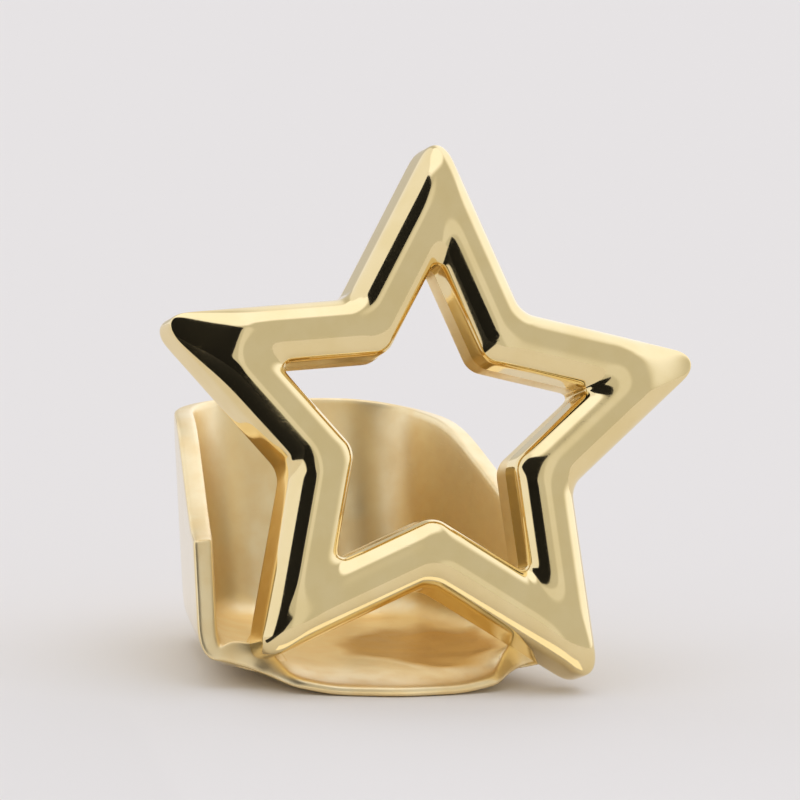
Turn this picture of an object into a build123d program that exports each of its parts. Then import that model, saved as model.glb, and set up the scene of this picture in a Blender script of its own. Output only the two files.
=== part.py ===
"""Tooth cover: an open star soldered to the front of a small open shell that hooks over one tooth.

The star faces -Y, +X is to the viewer's right and +Z is up. The origin is on the resting
surface, under the middle of the shell's floor. Lengths are millimetres, angles degrees.
"""

import os
from collections import namedtuple
from math import asin, atan2, cos, radians, sin, tan

from build123d import *

os.makedirs("parts", exist_ok=True)

# Star outline: five points, measured to where their straight edges would meet, then rounded
star_points = 5
star_tip_r = 5.6
star_notch_r = 2.82
star_tip_round = 0.27
star_notch_round = 0.5

# Limbs of the star: a straight side wall, and a rounded front that rises to a narrow flat crest
limb_width = 1.12
crest_width = 0.32
side_height = 0.6
front_rise = 0.6
crest_tip_round = 0.1
opening_tip_round = 0.12
opening_notch_round = 0.45
crest_notch_round = 0.1

# How the star stands on the shell: leaning back, turned a little, to the right of the middle
star_lean = 19.0
star_turn = -4.2
star_offset_x = 0.85
star_ground_gap = 0.16

# Shell round the tooth
shell_front_width = 7.2
shell_depth = 5.4
shell_wall = 0.38
side_taper = 14.5
inner_back_round = 1.3
inner_floor_round = 0.22
floor_flat_width = 2.0
floor_side_rise = 0.4
floor_crown_round = 3.0

# Open rim of the shell: low beside the star, higher at the back
rim_front_height = 2.6
rim_back_height = 4.1
rim_rise_start = 1.6
rim_rise_end = 4.6
rim_bend_round = 2.0
rim_round = 0.12

# Lip: the floor reaches forward between the star's two lower points
lip_width = 4.5
lip_reach = 0.7

# Solder that holds the star's lower points to the floor
solder_sink = 0.12
solder_width = 0.8
solder_leg = 0.55
solder_inset = 0.35
solder_hollow = 0.12

# Cutting forms run past the metal by this much
overrun = 1.0

# Rounded front of a limb, from its side wall to its crest, as shares of the bevel's width and rise
Slope = namedtuple("Slope", "width_share rise_share")
limb_front = [
    Slope(width_share=0.0, rise_share=0.0),
    Slope(width_share=0.1, rise_share=0.4),
    Slope(width_share=0.4, rise_share=0.8),
    Slope(width_share=1.0, rise_share=1.0),
]

# Half angles of a point and of a notch. An edge moved inwards by d moves a corner by d / sine
step_angle = radians(180 / star_points)
tip_half_angle = atan2(
    star_notch_r * sin(step_angle), star_tip_r - star_notch_r * cos(step_angle)
)
notch_half_angle = tip_half_angle + step_angle
bevel_width = (limb_width - crest_width) / 2

# The front of the shell and the back of the star lean back together
lean = radians(star_lean)
up_the_star = Vector(0, sin(lean), cos(lean))
into_the_shell = Vector(0, cos(lean), -sin(lean))
rim_y = -shell_depth / 2
shell_half_width = shell_front_width / 2
shell_top = rim_back_height + overrun

# The lowest point of the turned star stands just clear of the surface
tip_reach = star_tip_r - star_tip_round * (1 / sin(tip_half_angle) - 1)
star_centre = (
    tip_reach * cos(step_angle - radians(abs(star_turn))) + star_ground_gap / cos(lean)
)
star_plane = Plane(
    origin=Vector(star_offset_x, rim_y, 0)
    + up_the_star * star_centre
    + into_the_shell * solder_sink,
    x_dir=(1, 0, 0),
    z_dir=-into_the_shell,
).rotated((0, 0, star_turn))


def star_corners(inset):
    """Sharp corners of the star with each edge moved inwards by inset: a tip, a notch, and so on."""
    radii = (star_tip_r - inset / sin(tip_half_angle), star_notch_r - inset / sin(notch_half_angle))
    corners = []
    for index in range(2 * star_points):
        angle = radians(90) + index * step_angle
        corners.append((radii[index % 2] * cos(angle), radii[index % 2] * sin(angle)))
    return corners


def star_section(height, inset, tip_round, notch_round):
    """Star-shaped face at a height over the star's back, with its tips and notches rounded."""
    rounds = [tip_round, notch_round] * star_points
    with BuildSketch(star_plane.offset(height)) as section:
        with BuildLine():
            FilletPolyline(*star_corners(inset), radius=rounds, close=True)
        make_face()
    return section.sketch


def between(start, end, share):
    """The value that lies a share of the way from start to end."""
    return start + (end - start) * share


# Open star: a rounded star, less a smaller star that widens towards the front
outer_sections = [star_section(0, 0, star_tip_round, star_notch_round)]
opening_sections = [star_section(0, limb_width, opening_tip_round, opening_notch_round)]
for slope in limb_front:
    height = side_height + front_rise * slope.rise_share
    shift = bevel_width * slope.width_share
    outer_tip = between(star_tip_round, crest_tip_round, slope.width_share)
    opening_notch = between(opening_notch_round, crest_notch_round, slope.width_share)
    outer_sections.append(star_section(height, shift, outer_tip, star_notch_round + shift))
    opening_sections.append(
        star_section(height, limb_width - shift, opening_tip_round + shift, opening_notch)
    )

with BuildPart() as open_star:
    loft(outer_sections, ruled=True)
    loft(opening_sections, ruled=True, mode=Mode.SUBTRACT)


def floor_height(x):
    """Height of the underside of the shell's floor at a distance x from its middle."""
    half_flat = floor_flat_width / 2
    return floor_side_rise * max(0.0, abs(x) - half_flat) / (shell_half_width - half_flat)


def shell_form(inset, front_run):
    """The shell's form as a solid, drawn in by inset, and run on past its front by front_run."""
    taper = radians(side_taper)
    back_y = rim_y + shell_depth - inset
    half_front = shell_half_width - inset / cos(taper) + front_run * tan(taper)
    half_back = half_front - (back_y - rim_y + front_run) * tan(taper)
    back_round = inner_back_round + shell_wall - inset
    with BuildPart() as form:
        with BuildSketch(Plane.XY):
            with BuildLine():
                FilletPolyline(
                    (-half_front, rim_y - front_run),
                    (-half_back, back_y),
                    (half_back, back_y),
                    (half_front, rim_y - front_run),
                    radius=[0, back_round, back_round, 0],
                    close=True,
                )
            make_face()
        extrude(amount=shell_top / cos(lean), dir=up_the_star)
        with BuildSketch(Plane.XZ):
            with BuildLine():
                FilletPolyline(
                    (-half_front, shell_top),
                    (-half_front, floor_height(half_front) + inset),
                    (-floor_flat_width / 2, inset),
                    (floor_flat_width / 2, inset),
                    (half_front, floor_height(half_front) + inset),
                    (half_front, shell_top),
                    radius=[0, 0, floor_crown_round, floor_crown_round, 0, 0],
                    close=True,
                )
            make_face()
        extrude(amount=2 * shell_depth, both=True, mode=Mode.INTERSECT)
        underside = form.faces().filter_by(lambda face: face.normal_at().Z < -0.9)
        floor_edge = [
            edge
            for edge in underside.edges()
            if sum(edge in face.edges() for face in underside) == 1
            and edge.center().Y > rim_y - front_run + solder_sink
        ]
        fillet(floor_edge, inner_floor_round + shell_wall - inset)
    return form.part


# Shell: hollow, open in front where the star stands and open on top where the tooth goes in
outer_form = shell_form(0, 0)
inner_form = shell_form(shell_wall, overrun)

with BuildPart() as shell:
    add(outer_form)
    add(inner_form, mode=Mode.SUBTRACT)
    with BuildSketch(Plane.YZ):
        with BuildLine():
            FilletPolyline(
                (rim_y - overrun, rim_front_height),
                (rim_y + rim_rise_start, rim_front_height),
                (rim_y + rim_rise_end, rim_back_height),
                (rim_y + 2 * shell_depth, rim_back_height),
                (rim_y + 2 * shell_depth, shell_top + overrun),
                (rim_y - overrun, shell_top + overrun),
                radius=[0, rim_bend_round, rim_bend_round, 0, 0, 0],
                close=True,
            )
        make_face()
    extrude(amount=shell_front_width, both=True, mode=Mode.SUBTRACT)
    rim_faces = shell.faces().filter_by(
        lambda face: face.normal_at().Z > 0.5 and face.center().Z > rim_front_height - shell_wall
    )
    rim_edges = [
        edge
        for edge in rim_faces.edges()
        if sum(edge in face.edges() for face in rim_faces) == 1
        and edge.center().Y > rim_y + edge.center().Z * tan(lean) + shell_wall
    ]
    fillet(rim_edges, min(rim_round, shell_wall / 3))

# Lip: a stretch of floor with an arched front edge, in line with the shell's floor
half_lip = lip_width / 2
half_flat = floor_flat_width / 2

with BuildPart() as lip:
    with BuildSketch(Plane.XY):
        with BuildLine():
            ThreePointArc((-half_lip, rim_y), (0, rim_y - lip_reach), (half_lip, rim_y))
            Polyline(
                (half_lip, rim_y),
                (half_lip, rim_y + shell_wall),
                (-half_lip, rim_y + shell_wall),
                (-half_lip, rim_y),
            )
        make_face()
    extrude(amount=floor_side_rise + shell_wall)
    with BuildSketch(Plane.XZ):
        with BuildLine():
            FilletPolyline(
                (-shell_half_width, floor_side_rise),
                (-half_flat, 0),
                (half_flat, 0),
                (shell_half_width, floor_side_rise),
                (shell_half_width, floor_side_rise + shell_wall),
                (half_flat, shell_wall),
                (-half_flat, shell_wall),
                (-shell_half_width, floor_side_rise + shell_wall),
                radius=[0, floor_crown_round, floor_crown_round, 0] * 2,
                close=True,
            )
        make_face()
    extrude(amount=2 * shell_depth, both=True, mode=Mode.INTERSECT)

# Solder: a concave wedge in the corner of the floor and each of the two lower points
lower_points = [
    corner
    for corner in star_corners(solder_inset)[::2]
    if corner[1] < -abs(corner[0])
]

with BuildPart() as solder:
    for corner in lower_points:
        point = star_plane.from_local_coords(Vector(*corner, 0))
        foot_z = floor_height(point.X) + shell_wall - solder_sink
        top_z = foot_z + solder_leg
        foot = Vector(rim_y + foot_z * tan(lean), foot_z)
        heel = foot + Vector(solder_leg, 0)
        top = Vector(rim_y + top_z * tan(lean) + solder_sink, top_z)
        hollow = foot * solder_hollow + (heel + top) * (1 - solder_hollow) / 2
        with BuildSketch(Plane.YZ.offset(point.X)):
            with BuildLine():
                Polyline(top, foot, heel)
                ThreePointArc(heel, hollow, top)
            make_face()
        extrude(amount=solder_width / 2, both=True)
    add(outer_form, mode=Mode.INTERSECT)

# The star, shell, lip and solder are one piece of metal
with BuildPart() as star_tooth_cover:
    add(open_star.part)
    add(shell.part)
    add(lip.part)
    add(solder.part)

star_tooth_cover.part.label = "star_tooth_cover"
export_step(star_tooth_cover.part, "parts/star_tooth_cover.step")

bounds = star_tooth_cover.part.bounding_box()
print("solids:", len(star_tooth_cover.solids()))
print("volume:", round(star_tooth_cover.part.volume, 3))
print("from:", [round(value, 3) for value in bounds.min])
print("to:", [round(value, 3) for value in bounds.max])
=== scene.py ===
"""Star tooth cover: an open star with rounded limbs, soldered to a small open shell.

Sizes in the classes are millimetres and angles are degrees. A piece is drawn at its real
proportions on the bench, in millimetres, and is brought to metres when it is finished.
"""

import logging
from dataclasses import dataclass
from enum import Enum
from functools import cache
from math import atan2, cos, hypot, pi, radians, sin, sqrt, tan
from typing import Callable, Sequence

import bmesh
import bpy
from bmesh.types import BMEdge, BMesh, BMLayerItem, BMVert
from bpy.types import Material, Node, NodeSocket, NodeTree, Object
from mathutils import Matrix, Vector


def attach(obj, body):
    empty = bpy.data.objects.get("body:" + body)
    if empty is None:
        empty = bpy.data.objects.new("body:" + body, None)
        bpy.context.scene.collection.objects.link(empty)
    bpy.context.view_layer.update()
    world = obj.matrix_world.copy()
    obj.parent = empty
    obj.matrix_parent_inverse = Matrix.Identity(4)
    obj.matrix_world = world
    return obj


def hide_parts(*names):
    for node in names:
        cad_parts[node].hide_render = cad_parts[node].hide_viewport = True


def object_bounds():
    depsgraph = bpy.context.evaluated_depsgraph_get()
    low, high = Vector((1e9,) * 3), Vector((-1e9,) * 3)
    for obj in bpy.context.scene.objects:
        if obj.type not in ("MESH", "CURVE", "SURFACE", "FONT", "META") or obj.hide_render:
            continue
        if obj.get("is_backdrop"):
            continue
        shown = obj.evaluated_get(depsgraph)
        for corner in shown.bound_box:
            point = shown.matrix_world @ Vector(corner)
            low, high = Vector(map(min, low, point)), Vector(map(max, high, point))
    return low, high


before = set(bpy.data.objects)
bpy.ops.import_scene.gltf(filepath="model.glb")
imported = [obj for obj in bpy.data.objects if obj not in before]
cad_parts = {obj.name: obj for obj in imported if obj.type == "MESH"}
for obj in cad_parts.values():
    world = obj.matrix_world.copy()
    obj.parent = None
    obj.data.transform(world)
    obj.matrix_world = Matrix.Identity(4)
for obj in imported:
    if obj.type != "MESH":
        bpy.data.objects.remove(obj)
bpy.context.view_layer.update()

log = logging.getLogger("star_tooth_cover")
logging.basicConfig(level=logging.INFO, format="%(name)s: %(message)s")

MM = 0.001
CLOSE = 0.001
RING_LAYER = "ring"
Pair = tuple[float, float]
Triple = tuple[float, float, float]


class Kind(Enum):
    """The kinds of mesh element that can be picked on the bench."""

    VERTEX = "VERT"
    EDGE = "EDGE"
    FACE = "FACE"


class Axis(Enum):
    """The directions in which a stretch of metal can be pushed."""

    Y = "Y"
    Z = "Z"


@dataclass(frozen=True)
class Corner:
    """One corner of an outline.

    The rounding starts at setback from the sharp corner and has a number of segments. The
    straight edge that leaves the corner is divided by a number of cuts.
    """

    x: float
    y: float
    setback: float = 0.0
    segments: int = 0
    cuts: int = 0


class Bench:
    """One mesh, open in edit mode, with the hand tools that shape it."""

    def __init__(self, name: str, *finishes: Material) -> None:
        """Start an empty mesh.

        Args:
            name: The name of the piece.
            finishes: The piece's finishes, in the order of its material slots.
        """
        bpy.ops.object.select_all(action="DESELECT")
        bpy.ops.object.add(type="MESH", enter_editmode=True)
        self.piece = bpy.context.object
        self.piece.name = name
        self.piece.data.name = name
        for finish in finishes:
            self.piece.data.materials.append(finish)
        self.rings = 0
        self.mesh().verts.layers.int.new(RING_LAYER)

    def mesh(self) -> BMesh:
        """The mesh that is open on the bench."""
        return bmesh.from_edit_mesh(self.piece.data)

    def ring_layer(self) -> BMLayerItem:
        """Where each vertex keeps the number of its ring, or 0 while it is being drawn."""
        return self.mesh().verts.layers.int[RING_LAYER]

    def pick(self, kind: Kind, test: Callable[..., bool]) -> None:
        """Select the elements of one kind that pass a test, and nothing else.

        Args:
            kind: Vertices, edges or faces.
            test: Says of one element whether it is wanted.
        """
        bpy.ops.mesh.select_mode(type=kind.value)
        bpy.ops.mesh.select_all(action="DESELECT")
        mesh = self.mesh()
        elements = {Kind.VERTEX: mesh.verts, Kind.EDGE: mesh.edges, Kind.FACE: mesh.faces}[kind]
        for element in [element for element in elements if test(element)]:
            element.select_set(True)
        bmesh.update_edit_mesh(self.piece.data)

    def pick_fresh(self, kind: Kind, places: Sequence[Vector]) -> None:
        """Select elements of the outline being drawn whose middles lie at given places.

        Args:
            kind: Vertices or edges.
            places: The middles of the wanted elements.
        """
        layer = self.ring_layer()

        def wanted(element: BMVert | BMEdge) -> bool:
            """Say whether an element is new and lies at one of the places.

            Args:
                element: A vertex or an edge.

            Returns:
                True when it is wanted.
            """
            ends = [element] if kind is Kind.VERTEX else element.verts
            if any(vertex[layer] for vertex in ends):
                return False
            middle = sum((vertex.co for vertex in ends), Vector()) / len(ends)
            return any((middle - place).length < CLOSE for place in places)

        self.pick(kind, wanted)

    def draw_ring(self, corners: Sequence[Corner], height: float) -> int:
        """Draw one closed outline with rounded corners, parallel to the bench.

        Args:
            corners: The sharp corners, anticlockwise from the one nearest to +Y.
            height: The outline's height over the bench.

        Returns:
            The number of the ring.
        """
        sharp = [Vector((corner.x, corner.y, height)) for corner in corners]
        count, low = len(sharp), (0, 0, height)
        bpy.ops.mesh.primitive_circle_add(vertices=count, fill_type="NGON", location=low)
        for index, place in enumerate(sharp):
            angle = pi / 2 + index * 2 * pi / count
            start = Vector((cos(angle), sin(angle), height))
            self.pick_fresh(Kind.VERTEX, [start])
            bpy.ops.transform.translate(value=place - start)
        self.round_corners(corners, sharp)
        layer = self.ring_layer()
        self.pick(Kind.FACE, lambda face: not any(vertex[layer] for vertex in face.verts))
        bpy.ops.mesh.delete(type="ONLY_FACE")
        self.cut_edges(corners, sharp)
        self.rings += 1
        mesh, layer = self.mesh(), self.ring_layer()
        for vertex in mesh.verts:
            if not vertex[layer]:
                vertex[layer] = self.rings
        bmesh.update_edit_mesh(self.piece.data)
        return self.rings

    def round_corners(self, corners: Sequence[Corner], sharp: Sequence[Vector]) -> None:
        """Bevel the corners that have a setback, those of one shape together.

        Args:
            corners: The corners.
            sharp: Their places.
        """
        shapes = [(corner.setback, corner.segments) for corner in corners]
        for setback, segments in sorted(set(shapes)):
            alike = [place for place, shape in zip(sharp, shapes) if shape == (setback, segments)]
            if setback > 0:
                self.pick_fresh(Kind.VERTEX, alike)
                bpy.ops.mesh.bevel(offset=setback, segments=segments, affect="VERTICES")

    def cut_edges(self, corners: Sequence[Corner], sharp: Sequence[Vector]) -> None:
        """Divide the straight edges between the corners.

        Args:
            corners: The corners.
            sharp: Their places.
        """
        middles = {}
        for index, corner in enumerate(corners):
            following = (index + 1) % len(corners)
            along = (sharp[following] - sharp[index]).normalized()
            start = sharp[index] + along * corner.setback
            end = sharp[following] - along * corners[following].setback
            middles.setdefault(corner.cuts, []).append((start + end) / 2)
        for cuts in sorted(middles):
            if cuts:
                self.pick_fresh(Kind.EDGE, middles[cuts])
                bpy.ops.mesh.subdivide(number_cuts=cuts)

    def bridge(self, first: int, second: int) -> None:
        """Join two rings with a band of faces.

        Args:
            first: The number of one ring.
            second: The number of the other.
        """
        layer, rings = self.ring_layer(), ({first}, {second})
        self.pick(Kind.EDGE, lambda edge: {vertex[layer] for vertex in edge.verts} in rings)
        bpy.ops.mesh.bridge_edge_loops()

    def use_slot(self, slot: int) -> None:
        """Give the selected faces the finish of a material slot."""
        self.piece.active_material_index = slot
        bpy.ops.object.material_slot_assign()

    def finish(self, place: Matrix) -> Object:
        """Leave edit mode, with the mesh in its place in metres and the object at the origin.

        Args:
            place: The piece's place on the object, in millimetres.

        Returns:
            The piece.
        """
        bpy.ops.mesh.select_all(action="SELECT")
        bpy.ops.mesh.normals_make_consistent(inside=False)
        bpy.ops.object.mode_set(mode="OBJECT")
        marks = self.piece.data.attributes
        marks.remove(marks[RING_LAYER])
        self.piece.matrix_world = Matrix.Scale(MM, 4) @ place
        bpy.ops.object.transform_apply(location=True, rotation=True, scale=True)
        return self.piece


def push(piece: Object, axis: Axis, amount: Callable[[Vector], float]) -> None:
    """Move a piece's surface along an axis, by an amount that changes from place to place.

    Args:
        piece: The piece, in object or edit mode.
        axis: The direction of the move.
        amount: Gives the move, in the mesh's own unit, for a place on the mesh.
    """
    editing = piece.mode == "EDIT"
    if editing:
        bpy.ops.object.mode_set(mode="OBJECT")
    moves = [amount(vertex.co) for vertex in piece.data.vertices]
    low, high = min(moves), max(moves)
    group = piece.vertex_groups.new(name="push")
    for index, move in enumerate(moves):
        group.add([index], (move - low) / (high - low), "REPLACE")
    for strength, members in ((high - low, group.name), (low, "")):
        if strength:
            settings = {"direction": axis.value, "mid_level": 0.0, "vertex_group": members}
            use_modifier(piece, "DISPLACE", strength=strength, **settings)
    piece.vertex_groups.clear()
    if editing:
        bpy.ops.object.mode_set(mode="EDIT")


def use_modifier(piece: Object, kind: str, **settings: object) -> None:
    """Add a modifier with its settings and apply it.

    Args:
        piece: The piece, which becomes the active object.
        kind: The modifier's type.
        settings: The modifier's settings by name.
    """
    bpy.context.view_layer.objects.active = piece
    modifier = piece.modifiers.new(kind.title(), kind)
    for name, value in settings.items():
        setattr(modifier, name, value)
    bpy.ops.object.modifier_apply(modifier=modifier.name)


def smooth_over(piece: Object, levels: int) -> None:
    """Round a piece's mesh with a subdivision surface and shade it smooth.

    Args:
        piece: The piece.
        levels: How many times each face is divided.
    """
    use_modifier(piece, "SUBSURF", levels=levels, render_levels=levels)
    bpy.ops.object.select_all(action="DESELECT")
    piece.select_set(True)
    bpy.ops.object.shade_smooth()


def clamp(value: float) -> float:
    """A value kept between 0 and 1."""
    return min(1.0, max(0.0, value))


def smooth_share(value: float, start: float, end: float) -> float:
    """How far a value is on its way from start to end, from 0 to 1, with soft ends."""
    share = clamp((value - start) / (end - start))
    return share * share * (3 - 2 * share)


def soft_start(distance: float, soft: float) -> float:
    """A distance that sets out slowly over its first stretch, and is half of that stretch behind."""
    return distance - soft / 2 if distance > soft else max(0.0, distance) ** 2 / (2 * soft)


@dataclass(frozen=True)
class Stance:
    """How the star and the front of the shell stand: they lean back together."""

    lean: float = 19.0
    rim_y: float = -2.7

    @property
    def slope(self) -> float:
        """How far the lean goes back for each millimetre of height."""
        return tan(radians(self.lean))


@dataclass(frozen=True)
class LimbSection:
    """Section across a limb: a straight outer wall, a rounded front and a sloping inner wall.

    The back edges are eased, and each wall has one more row part of the way up.
    """

    width: float = 1.09
    crest_inset: float = 0.5
    wall_top: float = 0.72
    inner_wall_top: float = 0.86
    inner_slope: float = 0.05
    crest_height: float = 1.2
    edge_ease: float = 0.07
    ease_share: float = 0.3
    row_height: float = 0.55
    row_slope: float = 0.45
    dome_rows: int = 9
    inner_wall_rows: int = 4

    def rows(self) -> list[Pair]:
        """Insets from the star's outline and heights over its back, once round the section.

        Returns:
            Pairs of inset and height, from the outer back edge over the front to the inner one.
        """
        ease, nick = self.edge_ease, self.edge_ease * self.ease_share
        crest, foot = self.crest_inset, self.width + self.inner_slope
        angles = [pi / 2 * row / self.dome_rows for row in range(self.dome_rows + 1)]
        outer_wall = [(ease, 0.0), (nick, nick), (0.0, ease), (0.0, self.wall_top * self.row_height)]
        rise = self.crest_height - self.wall_top
        outer_dome = [
            (crest * (1 - cos(angle)), self.wall_top + rise * sin(angle)) for angle in angles[:-1]
        ]
        run, fall = self.width - crest, self.crest_height - self.inner_wall_top
        inner_dome = [
            (crest + run * sin(angle), self.inner_wall_top + fall * cos(angle)) for angle in angles
        ]
        inner_wall = [
            (self.width + self.inner_slope * self.row_slope, self.inner_wall_top * self.row_height),
            (foot, ease),
            (foot - nick, nick),
            (foot - ease, 0.0),
        ]
        return outer_wall + outer_dome + inner_dome + inner_wall


@dataclass
class OpenStar:
    """The open star that stands in front of the tooth."""

    stance: Stance
    points: int = 5
    tip_r: float = 5.6
    notch_r: float = 2.82
    tip_round: float = 0.27
    crest_tip_round: float = 0.36
    opening_tip_round: float = 0.12
    notch_round: float = 0.5
    crest_notch_round: float = 0.8
    opening_notch_round: float = 0.45
    turn: float = -4.2
    offset_x: float = 0.85
    ground_gap: float = 0.16
    sink: float = 0.12
    tip_segments: int = 8
    notch_segments: int = 6
    edge_cuts: int = 7
    smoothing: int = 2
    slope_start: float = 3.95
    slope_end: float = 5.3
    slope_soft: float = 0.25
    slope_share: float = 0.9
    section: LimbSection = LimbSection()

    @property
    def step(self) -> float:
        """The angle from a tip to the next notch, in radians."""
        return pi / self.points

    @property
    def tip_half(self) -> float:
        """Half the angle of a tip, in radians."""
        return atan2(self.notch_r * sin(self.step), self.tip_r - self.notch_r * cos(self.step))

    @property
    def notch_half(self) -> float:
        """Half the angle of a notch, in radians."""
        return self.tip_half + self.step

    def setback(self, radius: float, half_angle: float) -> float:
        """How far from a sharp corner its rounding starts, so that it reaches as far as an arc."""
        return radius * (1 / sin(half_angle) - 1) / ((2 - sqrt(2)) * cos(half_angle))

    def rounds(self, inset: float) -> Pair:
        """The rounding of an outline between the star's edge and its opening.

        Args:
            inset: How far its edges are moved inwards.

        Returns:
            The radii of its tips and its notches.
        """
        crest, width = self.section.crest_inset, self.section.width
        ridge = (self.crest_tip_round, self.crest_notch_round)
        if inset <= crest:
            share, start, end = inset / crest, (self.tip_round, self.notch_round), ridge
        else:
            share = (inset - crest) / (width - crest)
            start, end = ridge, (self.opening_tip_round, self.opening_notch_round)
        return tuple(a + (b - a) * share for a, b in zip(start, end))

    def corners(self, inset: float) -> list[Corner]:
        """The corners of an outline between the star's edge and its opening.

        Args:
            inset: How far its edges are moved inwards.

        Returns:
            The corners: a tip, a notch, and so on.
        """
        tip_round, notch_round = self.rounds(inset)
        kinds = (
            (self.tip_r, self.tip_half, tip_round, self.tip_segments),
            (self.notch_r, self.notch_half, notch_round, self.notch_segments),
        )
        found = []
        for index in range(2 * self.points):
            radius, half, rounding, segments = kinds[index % 2]
            angle, reach = pi / 2 + index * self.step, radius - inset / sin(half)
            x, y = reach * cos(angle), reach * sin(angle)
            found.append(Corner(x, y, self.setback(rounding, half), segments, self.edge_cuts))
        return found

    def place(self) -> Matrix:
        """Where the star stands, with its back towards the shell.

        Returns:
            Its place on the object, in millimetres.
        """
        tip_reach = self.tip_r - self.tip_round * (1 / sin(self.tip_half) - 1)
        foot = tip_reach * cos(self.step - radians(abs(self.turn)))
        centre = foot + self.ground_gap / cos(radians(self.stance.lean))
        foot_line = Matrix.Translation((self.offset_x, self.stance.rim_y, 0))
        upright = Matrix.Rotation(radians(90 - self.stance.lean), 4, "X")
        up_and_in = Matrix.Translation((0, centre, -self.sink))
        return foot_line @ upright @ up_and_in @ Matrix.Rotation(radians(self.turn), 4, "Z")

    def build(self, front: Material, inside: Material) -> Object:
        """Model the star: one ring of edges for each row of the section, bridged all round.

        Args:
            front: The finish of the front and the outside.
            inside: The finish of the wall of the opening.

        Returns:
            The finished mesh.
        """
        bench = Bench("open_star", front, inside)
        rings = [
            bench.draw_ring(self.corners(inset), height) for inset, height in self.section.rows()
        ]
        for first, second in zip(rings, rings[1:] + rings[:1]):
            bench.bridge(first, second)
        layer, wall = bench.ring_layer(), rings[-self.section.inner_wall_rows :]
        bench.pick(Kind.FACE, lambda face: all(vertex[layer] in wall for vertex in face.verts))
        bench.use_slot(1)
        push(bench.piece, Axis.Z, self.worn)
        piece = bench.finish(self.place())
        smooth_over(piece, self.smoothing)
        return piece

    def worn(self, at: Vector) -> float:
        """How far the front comes down towards the star's left and right points.

        Args:
            at: A place on the star, over its back.

        Returns:
            The move along the height, nothing or less.
        """
        height = at.z - self.section.wall_top
        if height <= 0 or abs(at.y) > abs(at.x):
            return 0.0
        eased = soft_start(hypot(at.x, at.y) - self.slope_start, self.slope_soft)
        length = self.slope_end - self.slope_start - self.slope_soft / 2
        return -height * self.slope_share * min(1.0, eased / length)


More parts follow.
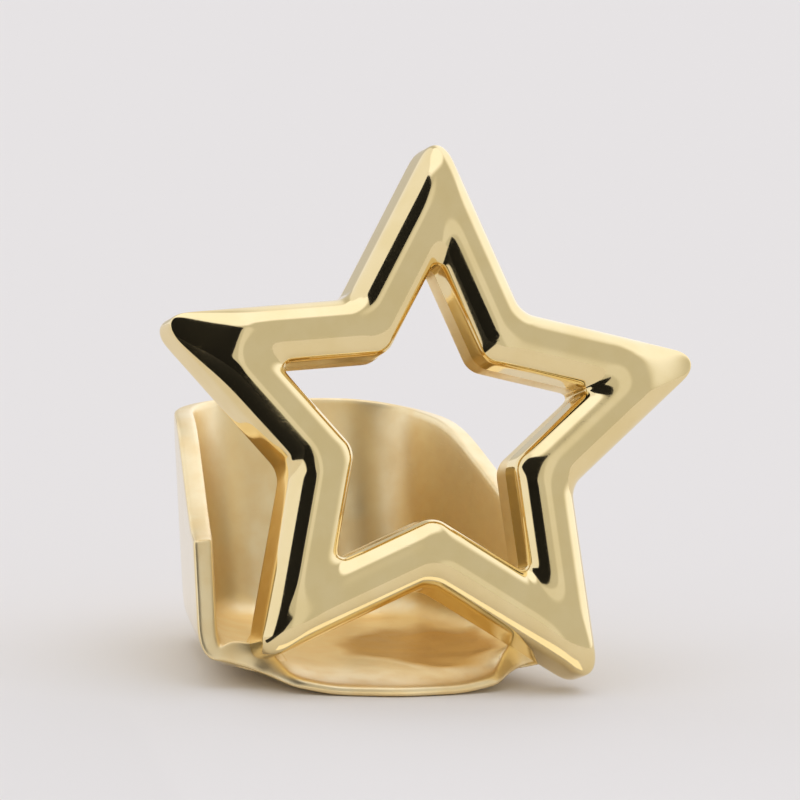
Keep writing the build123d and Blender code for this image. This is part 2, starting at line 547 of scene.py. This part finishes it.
@dataclass
class ToothShell:
    """The shell that hooks over the tooth: a floor with a lip, and a wall round three sides.

    The floor's top lies between two heights, floor_top, given as shares of the wall's thickness.
    """

    stance: Stance
    front_width: float = 7.2
    depth: float = 5.4
    wall: float = 0.38
    taper: float = 14.5
    back_round: float = 1.68
    floor_round: float = 0.6
    floor_flat: float = 2.0
    floor_rise: float = 0.4
    floor_soft: float = 0.5
    rim_front: float = 2.6
    rim_back: float = 4.1
    rise_start: float = 1.6
    rise_end: float = 4.6
    bend_reach: float = 0.5
    lip_width: float = 4.8
    lip_reach: float = 0.7
    lip_root: float = 1.3
    lip_soft: float = 0.12
    lip_blunt: float = 0.45
    lip_corner: float = 0.84
    bay_rise: float = 0.3
    bay_start: Pair = (2.1, 2.5)
    bay_end: Pair = (2.9, 3.5)
    bay_depth: float = 0.9
    thinning: float = 0.21
    thin_depth: float = 0.6
    thin_width: float = 2.4
    floor_cells: int = 24
    side_cuts: int = 9
    corner_segments: int = 7
    round_rows: int = 5
    wall_rows: int = 7
    edge_ease: float = 0.07
    rim_passes: int = 12
    floor_top: Pair = (0.6, 1.6)
    ease_segments: int = 2
    ease_angle: float = 50.0
    smoothing: int = 1

    @property
    def front(self) -> float:
        """The place of the floor's front edge, without its lip."""
        return self.stance.rim_y

    def corners(self, inset: float) -> list[Corner]:
        """The corners of the plan.

        Args:
            inset: How far it is drawn in at the sides and the back.

        Returns:
            The corners, from the left one at the back.
        """
        slant = radians(self.taper)
        half_front = self.front_width / 2 - inset / cos(slant)
        back = self.front + self.depth - inset
        half_back = half_front - (back - self.front) * tan(slant)
        setback = (self.back_round - inset) / tan((pi / 2 + slant) / 2)
        cells = self.floor_cells - 1
        return [
            Corner(-half_back, back, setback, self.corner_segments, self.side_cuts),
            Corner(-half_front, self.front, cuts=cells),
            Corner(half_front, self.front, cuts=self.side_cuts),
            Corner(half_back, back, setback, self.corner_segments, cells),
        ]

    def rows(self) -> list[Pair]:
        """Insets from the plan and heights of the sheet, from the floor to the low rim.

        Returns:
            Pairs of inset and height.
        """
        radius, wall = self.floor_round, self.rim_front - self.floor_round
        angles = [pi / 2 * row / self.round_rows for row in range(self.round_rows + 1)]
        rounding = [(radius * (1 - sin(angle)), radius * (1 - cos(angle))) for angle in angles]
        shares = [row / self.wall_rows for row in range(1, self.wall_rows + 1)]
        return rounding + [(0.0, radius + wall * share) for share in shares]

    def rim_over(self, y: float) -> float:
        """The height of the leaning wall's rim over a place on the plan, closer at each pass.

        Args:
            y: The place.

        Returns:
            The height.
        """
        height, bend = self.rim_front, 2 * self.bend_reach
        slope = (self.rim_back - self.rim_front) / (self.rise_end - self.rise_start)
        for _ in range(self.rim_passes):
            back = y + height * self.stance.slope - self.front + self.bend_reach
            climb = soft_start(back - self.rise_start, bend) - soft_start(back - self.rise_end, bend)
            height = self.rim_front + slope * climb
        return height

    def wall_share(self, height: float) -> float:
        """How far up the straight wall a height is, from 0 at its foot to 1 at the low rim."""
        return clamp((height - self.floor_round) / (self.rim_front - self.floor_round))

    def crown(self, x: float) -> float:
        """How much the floor is raised at a distance from the middle."""
        run = (self.front_width - self.floor_flat - self.floor_soft) / 2
        return self.floor_rise * soft_start(abs(x) - self.floor_flat / 2, self.floor_soft) / run

    def underside(self, x: float, behind: float) -> float:
        """How high the outside of the floor is, up into its rounding, at a place near the front.

        Args:
            x: The distance from the middle.
            behind: The distance from the front edge.

        Returns:
            The height.
        """
        inset = self.front_width / 2 - behind * tan(radians(self.taper)) - abs(x)
        share = 1 - clamp(inset / self.floor_round)
        return self.crown(x) + self.floor_round * (1 - sqrt(1 - share**2))

    def lip(self, at: Vector) -> float:
        """How far the floor is drawn forwards into the lip.

        Args:
            at: A place on it, before it is drawn.

        Returns:
            The distance.
        """
        share = abs(at.x) / (self.lip_width / 2)
        root = 1 - (at.y - self.front) / self.lip_root
        if share >= 1 or root <= 0 or at.z > self.floor_round:
            return 0.0
        soft = self.lip_soft
        kinked = (hypot(1, soft) - hypot(share, soft)) / (hypot(1, soft) - soft)
        ending = 1 - smooth_share(share, self.lip_corner, 1.0)
        tapering = self.lip_blunt * ending + (1 - self.lip_blunt) * kinked
        return self.lip_reach * tapering * root**2

    def bay(self, at: Vector) -> float:
        """How much the floor's front edge is raised beside the lip, so that the lip stands out.

        Args:
            at: A place on the floor.

        Returns:
            The height.
        """
        root = 1 - (at.y - self.front) / self.bay_depth
        if root <= 0 or at.z > self.floor_round + self.bay_rise:
            return 0.0
        rising = smooth_share(abs(at.x), *self.bay_start)
        falling = smooth_share(abs(at.x), *self.bay_end)
        return self.bay_rise * rising * (1 - falling) * root**2

    def build(self, outside: Material, inside: Material) -> Object:
        """Model the shell: a sheet for the outside, pushed to shape, then given its thickness.

        Args:
            outside: The finish of the outside and of every edge.
            inside: The finish of the inside.

        Returns:
            The finished mesh.
        """
        bench = Bench("tooth_shell", outside, inside)
        rings = [bench.draw_ring(self.corners(inset), height) for inset, height in self.rows()]
        for first, second in zip(rings, rings[1:]):
            bench.bridge(first, second)
        self.open_front(bench)
        self.lay_floor(bench)
        bpy.ops.mesh.select_all(action="SELECT")
        bpy.ops.mesh.remove_doubles(threshold=CLOSE)
        piece, low = bench.piece, self.rim_front
        push(piece, Axis.Z, lambda at: (self.rim_over(at.y) - low) * self.wall_share(at.z))
        push(piece, Axis.Z, lambda at: self.crown(at.x) * (1 - self.wall_share(at.z)))
        push(piece, Axis.Z, self.bay)
        push(piece, Axis.Y, lambda at: -self.lip(at))
        push(piece, Axis.Y, lambda at: at.z * self.stance.slope)
        bench.finish(Matrix.Identity(4))
        self.thicken(piece)
        return piece

    def open_front(self, bench: Bench) -> None:
        """Delete the faces that close the front, and the edges that they leave.

        Args:
            bench: The bench with the sheet.
        """
        front = self.front + CLOSE
        bench.pick(Kind.FACE, lambda face: all(vertex.co.y < front for vertex in face.verts))
        bpy.ops.mesh.delete(type="ONLY_FACE")
        bench.pick(Kind.EDGE, lambda edge: not edge.link_faces)
        bpy.ops.mesh.delete(type="EDGE")

    def lay_floor(self, bench: Bench) -> None:
        """Fill the floor with rows of faces from its left edge to its right edge.

        Args:
            bench: The bench with the sheet.
        """
        front = self.front + CLOSE
        back = self.front + self.depth - self.floor_round - CLOSE

        def beside(edge: BMEdge) -> bool:
            """Whether an edge is on the left or the right side of the floor."""
            low, high = sorted(vertex.co.y for vertex in edge.verts)
            return all(vertex.co.z <= CLOSE for vertex in edge.verts) and low <= back and high >= front

        bench.pick(Kind.EDGE, beside)
        bpy.ops.mesh.bridge_edge_loops(number_cuts=self.floor_cells - 1, interpolation="LINEAR")

    def thicken(self, piece: Object) -> None:
        """Give the sheet its thickness inwards, thin the lip, and ease every edge.

        Args:
            piece: The sheet.
        """
        use_modifier(
            piece,
            "SOLIDIFY",
            thickness=self.wall * MM,
            offset=-1.0,
            use_even_offset=True,
            material_offset=1,
            material_offset_rim=1,
        )
        push(piece, Axis.Z, self.thinned)
        push(piece, Axis.Y, self.levelled)
        use_modifier(
            piece,
            "BEVEL",
            width=self.edge_ease * MM,
            segments=self.ease_segments,
            limit_method="ANGLE",
            angle_limit=radians(self.ease_angle),
            use_clamp_overlap=False,
        )
        smooth_over(piece, self.smoothing)

    def thinned(self, at: Vector) -> float:
        """How much the top of the floor comes down towards its front edge.

        Args:
            at: A place on the shell, in metres.

        Returns:
            The move along Z, in metres, nothing or less.
        """
        place = at / MM
        low, high = self.floor_top
        if not self.wall * low < place.z - self.crown(place.x) < self.wall * high:
            return 0.0
        reach = self.lip(Vector((place.x, self.front, 0)))
        behind = place.y - place.z * self.stance.slope - self.front + reach
        aside = (abs(place.x) - self.thin_width) / (self.front_width / 2 - self.thin_width)
        near = max(0.0, 1 - max(0.0, behind) / self.thin_depth)
        return -self.thinning * MM * near * (1 - clamp(aside))

    def levelled(self, at: Vector) -> float:
        """How far the front edge of a side wall is from the plane of the star's back.

        Args:
            at: A place on the shell, in metres.

        Returns:
            The move along Y, in metres.
        """
        edge, wall = self.front * MM, self.wall * MM
        place = at.y - at.z * self.stance.slope
        on_edge = at.z > wall * self.floor_top[1] and place < edge + wall / 2
        return edge - place if on_edge else 0.0


@dataclass
class Solder:
    """The two mounds of solder behind the star's lower points."""

    stance: Stance
    star: OpenStar
    shell: ToothShell
    sink: float = 0.3
    half_width: float = 0.62
    half_depth: float = 0.3
    back_shift: float = 0.36
    inset: float = 0.35
    foot: float = 0.08
    vertices: int = 32
    smoothing: int = 2
    step_insets: tuple[float, ...] = (0.04, 0.07, 0.08, 0.09, 0.08, 0.07, 0.06)
    step_heights: tuple[float, ...] = (0.05, 0.07, 0.09, 0.13, 0.16, 0.11, 0.04)

    def feet(self) -> list[float]:
        """Where the mounds stand across the shell: behind the star's lower points, inside the walls.

        Returns:
            The places, from left to right.
        """
        place = self.star.place()
        room = (self.shell.front_width - self.shell.wall) / 2 - self.half_width
        spots = []
        for corner in self.star.corners(self.inset)[::2]:
            if corner.y < -abs(corner.x):
                point = (place @ Vector((corner.x, corner.y, 0))).x
                spots.append(max(-room, min(room, point)))
        return sorted(spots)

    def build(self, name: str, x: float, finish: Material) -> Object:
        """Model one mound: a low cylinder whose top is inset and raised step by step.

        Args:
            name: The mound's name.
            x: Where it is, across the shell.
            finish: The solder's finish.

        Returns:
            The finished mesh.
        """
        bench = Bench(name, finish)
        bpy.ops.mesh.primitive_cylinder_add(
            vertices=self.vertices,
            radius=self.half_width,
            depth=self.foot,
            location=(0, 0, self.foot / 2),
        )
        bench.pick(Kind.FACE, lambda face: all(v.co.z > self.foot / 2 for v in face.verts))
        for inwards, upwards in zip(self.step_insets, self.step_heights):
            bpy.ops.mesh.inset(thickness=inwards, depth=upwards)
        bpy.ops.mesh.select_all(action="SELECT")
        squeeze = self.half_depth / self.half_width
        bpy.ops.transform.resize(value=(1.0, squeeze, 1.0), center_override=(0, 0, 0))
        level = self.shell.crown(x)

        def bent(at: Vector) -> float:
            """How much the outside of the floor rises from the mound's middle to a place on it."""
            return self.shell.underside(x + at.x, self.back_shift + at.y) - level

        push(bench.piece, Axis.Z, bent)
        push(bench.piece, Axis.Y, lambda at: at.z * self.stance.slope)
        bottom = level + self.shell.wall - self.sink
        middle = self.stance.rim_y + bottom * self.stance.slope + self.back_shift
        piece = bench.finish(Matrix.Translation((x, middle, bottom)))
        smooth_over(piece, self.smoothing)
        return piece


@dataclass
class NodeSheet:
    """The tree of a material, a world or a group, with short ways to add and wire nodes."""

    tree: NodeTree

    def add(self, kind: str, inputs: dict[str | int, object], **settings: object) -> Node:
        """Add a node.

        Args:
            kind: The node's type.
            inputs: Values or sockets for its inputs, by name or number.
            settings: The node's own settings by name.

        Returns:
            The node.
        """
        node = self.tree.nodes.new(kind)
        for name, value in settings.items():
            setattr(node, name, value)
        for key, value in inputs.items():
            self.feed(node.inputs[key], value)
        return node

    def feed(self, socket: NodeSocket, value: object) -> None:
        """Wire a socket to another one, or set its value.

        Args:
            socket: The socket of an input.
            value: The other socket, or the value.
        """
        if isinstance(value, NodeSocket):
            self.tree.links.new(value, socket)
        else:
            socket.default_value = value

    def maths(self, operation: str, *values: object) -> NodeSocket:
        """Add a sum of one or two values and give its result."""
        inputs = dict(enumerate(values))
        return self.add("ShaderNodeMath", inputs, operation=operation).outputs[0]

    def vectors(self, operation: str, *values: object) -> NodeSocket:
        """Add a sum of two vectors and give its result."""
        inputs = dict(enumerate(values))
        return self.add("ShaderNodeVectorMath", inputs, operation=operation).outputs["Vector"]

    def mix(self, share: object, first: object, second: object) -> NodeSocket:
        """Mix two colours by a share from 0 to 1."""
        inputs = {"Factor": share, "A": first, "B": second}
        return self.add("ShaderNodeMix", inputs, data_type="RGBA").outputs["Result"]

    def noise(self, place: object, scale: float, detail: float) -> NodeSocket:
        """Add a noise and give its value at a place."""
        inputs = {"Vector": place, "Scale": scale, "Detail": detail}
        return self.add("ShaderNodeTexNoise", inputs).outputs[0]

    def ramp(
        self, value: object, start: float, end: float, low: float = 0.0, high: float = 1.0
    ) -> NodeSocket:
        """Turn the values from start to end softly into values from low to high."""
        inputs = {"Value": value, "From Min": start, "From Max": end, "To Min": low, "To Max": high}
        return self.add("ShaderNodeMapRange", inputs, interpolation_type="SMOOTHSTEP").outputs[0]


class NodeGroup(NodeSheet):
    """The nodes of a group, with its own inputs and outputs."""

    def __init__(self, name: str, vectors: Sequence[str], numbers: Sequence[str]) -> None:
        """Start a group.

        Args:
            name: Its name.
            vectors: The names of its inputs, which are vectors.
            numbers: The names of its outputs, which are numbers.
        """
        super().__init__(bpy.data.node_groups.new(name, "ShaderNodeTree"))
        for socket in vectors:
            self.tree.interface.new_socket(socket, in_out="INPUT", socket_type="NodeSocketVector")
        for socket in numbers:
            self.tree.interface.new_socket(socket, in_out="OUTPUT", socket_type="NodeSocketFloat")
        self.given = self.add("NodeGroupInput", {}).outputs
        self.result = self.add("NodeGroupOutput", {}).inputs


@dataclass(frozen=True)
class PolishingMarks:
    """The marks of polishing: hairlines that run two ways, and faint clouds.

    Each set of hairlines has its turn in radians and its stretch along the three axes.
    """

    hairlines: tuple[tuple[Triple, Triple], ...] = (
        ((0.3, 0.2, 0.5), (1.2, 14.0, 30.0)),
        ((0.1, 1.1, -0.6), (26.0, 1.0, 18.0)),
    )
    hairline_range: Pair = (0.62, 0.74)
    hairline_detail: float = 2.0
    cloud_scale: float = 1.6
    cloud_detail: float = 3.0
    cloud_range: Pair = (0.3, 0.7)

    @cache
    def group(self) -> NodeTree:
        """Make the group that gives the hairlines and the clouds, from 0 to 1.

        Returns:
            The group.
        """
        sheet = NodeGroup("polishing_marks", ("Place",), ("Hairlines", "Clouds"))
        place = sheet.given["Place"]
        lines = []
        for turn, stretch in self.hairlines:
            inputs = {"Vector": place, "Rotation": turn, "Scale": stretch}
            turned = sheet.add("ShaderNodeMapping", inputs).outputs[0]
            noise = sheet.noise(turned, 1.0, self.hairline_detail)
            lines.append(sheet.ramp(noise, *self.hairline_range))
        clouds = sheet.noise(place, self.cloud_scale, self.cloud_detail)
        sheet.feed(sheet.result["Hairlines"], sheet.maths("MAXIMUM", *lines))
        sheet.feed(sheet.result["Clouds"], sheet.ramp(clouds, *self.cloud_range))
        return sheet.tree


@dataclass(frozen=True)
class PaintedReflection:
    """Painted reflection: a darker orange area with an uneven outline and lumps, standing in for gold
    reflected in gold.

    It has its middle and its reach along each axis, in millimetres.
    """

    middle: Triple
    reach: Triple
    colour: Triple
    lump_height: float
    lump_scale: float = 1.5
    unevenness: float = 0.5
    outline: Pair = (1.0, 1.3)

    @cache
    def group(self) -> NodeTree:
        """Make the group that gives the painted reflection's area and the lumps inside it, from 0 to 1.

        Returns:
            The group.
        """
        sheet = NodeGroup("painted_reflection_area", ("Place", "Middle", "Reach"), ("PaintedReflection", "Lumps"))
        away = sheet.vectors("SUBTRACT", sheet.given["Place"], sheet.given["Middle"])
        share = sheet.vectors("DIVIDE", away, sheet.given["Reach"])
        length = sheet.add("ShaderNodeVectorMath", {0: share}, operation="LENGTH").outputs["Value"]
        lumps = sheet.noise(sheet.given["Place"], self.lump_scale, 0.0)
        uneven = sheet.maths("ADD", length, sheet.maths("MULTIPLY", lumps, self.unevenness))
        painted_reflection = sheet.ramp(uneven, *self.outline, 1.0, 0.0)
        sheet.feed(sheet.result["PaintedReflection"], painted_reflection)
        sheet.feed(sheet.result["Lumps"], sheet.maths("MULTIPLY", painted_reflection, lumps))
        return sheet.tree


@dataclass(frozen=True)
class GoldFinish:
    """Gold plating: its colour, how polished it is, and how far its marks of wear go."""

    name: str
    colour: Triple
    deep_colour: Triple
    roughness: float
    worn_roughness: float
    mark_depth: float
    marks: PolishingMarks = PolishingMarks()
    # A painted reflection: a darker orange area mixed into the colour, with lumps in the bumps.
    painted_reflection: PaintedReflection | None = None

    def build(self) -> Material:
        """Make the material.

        Returns:
            The material.
        """
        material = bpy.data.materials.new(self.name)
        material.use_nodes = True
        sheet, shader = NodeSheet(material.node_tree), material.node_tree.nodes["Principled BSDF"]
        place = sheet.add("ShaderNodeTexCoord", {}).outputs["Object"]
        scaled = sheet.add("ShaderNodeMapping", {"Vector": place, "Scale": (1 / MM,) * 3})
        millimetres = scaled.outputs[0]
        marks = sheet.add("ShaderNodeGroup", {"Place": millimetres}, node_tree=self.marks.group())
        clouds, hairlines = marks.outputs["Clouds"], marks.outputs["Hairlines"]
        tint = sheet.mix(clouds, (*self.colour, 1.0), (*self.deep_colour, 1.0))
        wear = sheet.maths("ADD", clouds, hairlines)
        mean = sheet.maths("MULTIPLY", wear, 0.5)
        rough = sheet.ramp(mean, 0.0, 1.0, self.roughness, self.worn_roughness)
        height = sheet.maths("MULTIPLY", hairlines, -self.mark_depth)
        # Painted reflection: a darker orange area mixed into the colour, and its lumps added to the
        # bumps.
        if self.painted_reflection:
            where = {"Place": millimetres, "Middle": self.painted_reflection.middle, "Reach": self.painted_reflection.reach}
            spot = sheet.add("ShaderNodeGroup", where, node_tree=self.painted_reflection.group())
            tint = sheet.mix(spot.outputs["PaintedReflection"], tint, (*self.painted_reflection.colour, 1.0))
            lumps = sheet.maths("MULTIPLY", spot.outputs["Lumps"], self.painted_reflection.lump_height)
            height = sheet.maths("ADD", height, lumps)
        bump = sheet.add("ShaderNodeBump", {"Height": height, "Distance": MM})
        looks = {"Base Color": tint, "Metallic": 1.0, "Roughness": rough, "Normal": bump.outputs[0]}
        for socket, value in looks.items():
            sheet.feed(shader.inputs[socket], value)
        return material


POLISHED = GoldFinish(
    name="gold_polished",
    colour=(0.90, 0.735, 0.40),
    deep_colour=(0.87, 0.70, 0.36),
    roughness=0.06,
    worn_roughness=0.13,
    mark_depth=0.00012,
)
SATIN = GoldFinish(
    name="gold_satin_inside",
    # The gold's own colour, made lighter than the polished gold as painted light so that the surfaces
    # with this finish look brighter.
    colour=(0.97, 0.81, 0.49),
    deep_colour=(0.93, 0.73, 0.39),
    roughness=0.36,
    worn_roughness=0.5,
    mark_depth=0.0006,
    # Painted reflection: darker orange near the front of the floor, right of the middle, for gold
    # reflected in gold.
    painted_reflection=PaintedReflection(
        middle=(1.15, -0.9, 0.45), reach=(1.5, 1.9, 0.5), colour=(0.68, 0.42, 0.12), lump_height=0.08
    ),
)


@dataclass(frozen=True)
class Panel:
    """One panel of light or of shade in the sky, as seen from the object.

    It is an ellipse with its half width and half height in degrees, and its corners fill out
    as it is made squarer. Its softness is a share of its half width.
    """

    azimuth: float
    elevation: float
    half_width: float
    half_height: float
    light: float
    square: float
    softness: float = 0.06

    def mask(self, sheet: NodeSheet, azimuth: NodeSocket, elevation: NodeSocket) -> NodeSocket:
        """Add the nodes that tell the panel from the rest of the sky.

        Args:
            sheet: The world's nodes.
            azimuth: The azimuth of the direction that is looked in, in radians.
            elevation: Its elevation, in radians.

        Returns:
            The mask, 1 inside the panel and 0 outside it.
        """
        powers = []
        for look, middle, half in (
            (azimuth, self.azimuth, self.half_width),
            (elevation, self.elevation, self.half_height),
        ):
            away = sheet.maths("SUBTRACT", look, radians(middle))
            share = sheet.maths("ABSOLUTE", sheet.maths("DIVIDE", away, radians(half)))
            powers.append(sheet.maths("POWER", share, self.square))
        reach = sheet.maths("POWER", sheet.maths("ADD", *powers), 1 / self.square)
        return sheet.ramp(reach, 1 - self.softness, 1 + self.softness, 1.0, 0.0)


@dataclass
class Studio:
    """A plain pale floor, cards and panels of light that the metal reflects, and the camera."""

    azimuth: float = -20.0
    elevation: float = 9.5
    roll: float = 3.35
    lens: float = 500.0
    view_width: float = 14.6
    floor_radius: float = 2000.0
    floor_colour: Triple = (0.84, 0.80, 0.74)
    backdrop_light: float = 0.75
    warm: Triple = (1.0, 0.985, 0.96)
    cool: Triple = (0.97, 1.0, 1.14)
    ambient: float = 0.62
    black: Triple = (0.01, 0.01, 0.01)
    bright: Triple = (1.15, 1.08, 0.95)
    card_height: float = 0.02
    strip_corners: tuple[Corner, ...] = (
        Corner(-2.4, -3.5),
        Corner(-2.4, -4.3),
        Corner(3.6, -4.3),
        Corner(3.6, -3.5),
    )
    card_corners: tuple[Corner, ...] = (
        Corner(-10.0, -1.9, setback=0.5, segments=4),
        Corner(-1023.9, -954.8),
        Corner(-219.0, -1382.8),
        Corner(-7.4, -14.0, setback=4.0, segments=6),
        Corner(-5.4, -3.8, setback=0.5, segments=4),
    )
    board_azimuth: float = -28.0
    board_distance: float = 1323.7
    board_segments: int = 5
    board_outline: tuple[Triple, ...] = (
        (-30.0, 61.0, 300.0),
        (-62.0, 58.0, 300.0),
        (-76.0, 34.0, 200.0),
        (-52.0, 21.0, 100.0),
        (-46.0, 10.0, 100.0),
        (-47.0, 0.0, 0.0),
        (-10.0, 0.0, 0.0),
        (2.0, 13.0, 60.0),
        (-16.0, 23.0, 150.0),
        (-5.0, 36.0, 100.0),
        (3.0, 50.0, 200.0),
    )
    panels: tuple[Panel, ...] = (
        Panel(0.0, 80.0, 250.0, 20.0, light=1.25, square=8.0, softness=0.2),
        Panel(118.0, 28.0, 46.0, 36.0, light=1.2, square=3.0, softness=0.25),
        Panel(-112.0, 10.0, 62.0, 60.0, light=0.97, square=8.0),
        Panel(10.0, 20.0, 7.0, 30.0, light=0.8, square=3.0, softness=0.3),
    )
    cool_light: float = 1.2
    matt_roughness: float = 0.9
    matt_specular: float = 0.1
    floor_sides: int = 64
    near_share: float = 0.2
    far_share: float = 50.0

    def matt(self, name: str, colour: Triple, glowing: bool = False) -> Material:
        """Make a plain matt material for the studio's own things.

        Args:
            name: Its name.
            colour: Its colour, or that of the light it gives.
            glowing: Whether it is black and gives light.

        Returns:
            The material.
        """
        material = bpy.data.materials.new(name)
        material.use_nodes = True
        sheet, shader = NodeSheet(material.node_tree), material.node_tree.nodes["Principled BSDF"]
        looks = {"Roughness": self.matt_roughness, "Specular IOR Level": self.matt_specular}
        if glowing:
            looks |= {"Base Color": (0.0, 0.0, 0.0, 1.0), "Emission Strength": 1.0}
        looks["Emission Color" if glowing else "Base Color"] = (*colour, 1.0)
        for socket, value in looks.items():
            sheet.feed(shader.inputs[socket], value)
        return material

    def lay_floor(self) -> None:
        """Lay the floor that the object stands on."""
        bpy.ops.object.select_all(action="DESELECT")
        bpy.ops.mesh.primitive_circle_add(
            vertices=self.floor_sides, radius=self.floor_radius * MM, fill_type="NGON"
        )
        floor = bpy.context.object
        floor.name = "floor"
        floor.data.materials.append(self.matt("floor", self.floor_colour))
        floor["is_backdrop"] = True

    def set_card(self, corners: Sequence[Corner], finish: Material, height: float, place: Matrix) -> None:
        """Make a card that only shows as a reflection in the metal.

        Args:
            corners: Its outline.
            finish: Its material, which gives it its name.
            height: Its height over the bench.
            place: Where it stands.
        """
        bench = Bench(finish.name, finish)
        bench.draw_ring(corners, height)
        bpy.ops.mesh.select_all(action="SELECT")
        bpy.ops.mesh.edge_face_add()
        card = bench.finish(place)
        card.visible_camera = False
        card.visible_diffuse = False
        card.visible_shadow = False
        card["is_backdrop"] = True

    def set_cards(self) -> None:
        """Lay a dark and a bright card on the floor, and stand a dark one up where the first ends."""
        flat, height = Matrix.Identity(4), self.card_height
        self.set_card(self.card_corners, self.matt("dark_card", self.black), height, flat)
        self.set_card(self.strip_corners, self.matt("bright_card", self.bright, True), height, flat)
        corners = []
        for azimuth, elevation, setback in self.board_outline:
            aside = radians(azimuth - self.board_azimuth)
            away = self.board_distance / cos(aside)
            x, y = away * sin(aside), away * tan(radians(elevation))
            corners.append(Corner(x, y, setback, self.board_segments))
        upright = Matrix.Rotation(radians(90), 4, "X")
        turned = Matrix.Rotation(radians(self.board_azimuth), 4, "Z")
        out = Matrix.Translation((0, -self.board_distance, height))
        self.set_card(corners, self.matt("dark_board", self.black), 0.0, turned @ out @ upright)

    def hang_lights(self) -> None:
        """Set the soft panels of light round the object."""
        world = bpy.data.worlds.new("studio")
        bpy.context.scene.world = world
        world.use_nodes = True
        sheet = NodeSheet(world.node_tree)
        background = world.node_tree.nodes["Background"]
        look = sheet.add("ShaderNodeTexCoord", {}).outputs["Generated"]
        split = sheet.add("ShaderNodeSeparateXYZ", {0: look})
        ahead = sheet.maths("MULTIPLY", split.outputs["Y"], -1.0)
        azimuth = sheet.maths("ARCTAN2", split.outputs["X"], ahead)
        elevation = sheet.maths("ARCSINE", split.outputs["Z"])
        light = self.ambient
        for panel in self.panels:
            change = sheet.maths("SUBTRACT", panel.light, light)
            mask = panel.mask(sheet, azimuth, elevation)
            light = sheet.maths("ADD", light, sheet.maths("MULTIPLY", change, mask))
        seen = sheet.add("ShaderNodeLightPath", {}).outputs["Is Camera Ray"]
        plain = sheet.maths("SUBTRACT", self.backdrop_light, light)
        light = sheet.maths("ADD", light, sheet.maths("MULTIPLY", plain, seen))
        share = sheet.ramp(light, self.ambient, self.cool_light)
        tint = sheet.mix(share, (*self.warm, 1.0), (*self.cool, 1.0))
        sheet.feed(background.inputs["Strength"], light)
        sheet.feed(background.inputs["Color"], tint)

    def set_camera(self) -> None:
        """Stand the camera at the photograph's angle."""
        low, high = (Vector(corner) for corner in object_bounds())
        middle = (low + high) / 2
        az, el = radians(self.azimuth), radians(self.elevation)
        away = Vector((sin(az) * cos(el), -cos(az) * cos(el), sin(el)))
        data = bpy.data.cameras.new("camera")
        data.lens = self.lens
        distance = self.view_width * MM * self.lens / data.sensor_width
        data.clip_start, data.clip_end = distance * self.near_share, distance * self.far_share
        camera = bpy.data.objects.new("camera", data)
        bpy.context.scene.collection.objects.link(camera)
        turn = away.to_track_quat("Z", "Y").to_matrix().to_4x4()
        roll = Matrix.Rotation(radians(self.roll), 4, "Z")
        camera.matrix_world = Matrix.Translation(middle + away * distance) @ turn @ roll
        bpy.context.scene.camera = camera

    def build(self) -> None:
        """Build the whole studio."""
        self.lay_floor()
        self.set_cards()
        self.hang_lights()
        self.set_camera()
        bpy.context.scene.view_settings.view_transform = "Standard"


def hand_over(piece: Object) -> None:
    """Let a finished piece stand for the solid.

    Args:
        piece: The piece.
    """
    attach(piece, "root")
    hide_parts("star_tooth_cover")
    log.info("%s: %d faces", piece.name, len(piece.data.polygons))


def main() -> None:
    polished, satin = POLISHED.build(), SATIN.build()
    stance = Stance()
    star, shell = OpenStar(stance), ToothShell(stance)
    solder = Solder(stance, star, shell)
    hand_over(star.build(polished, satin))
    hand_over(shell.build(polished, satin))
    for side, x in zip(("left", "right"), solder.feet()):
        hand_over(solder.build(f"solder_{side}", x, satin))
    Studio().build()


if __name__ == "__main__":
    main()
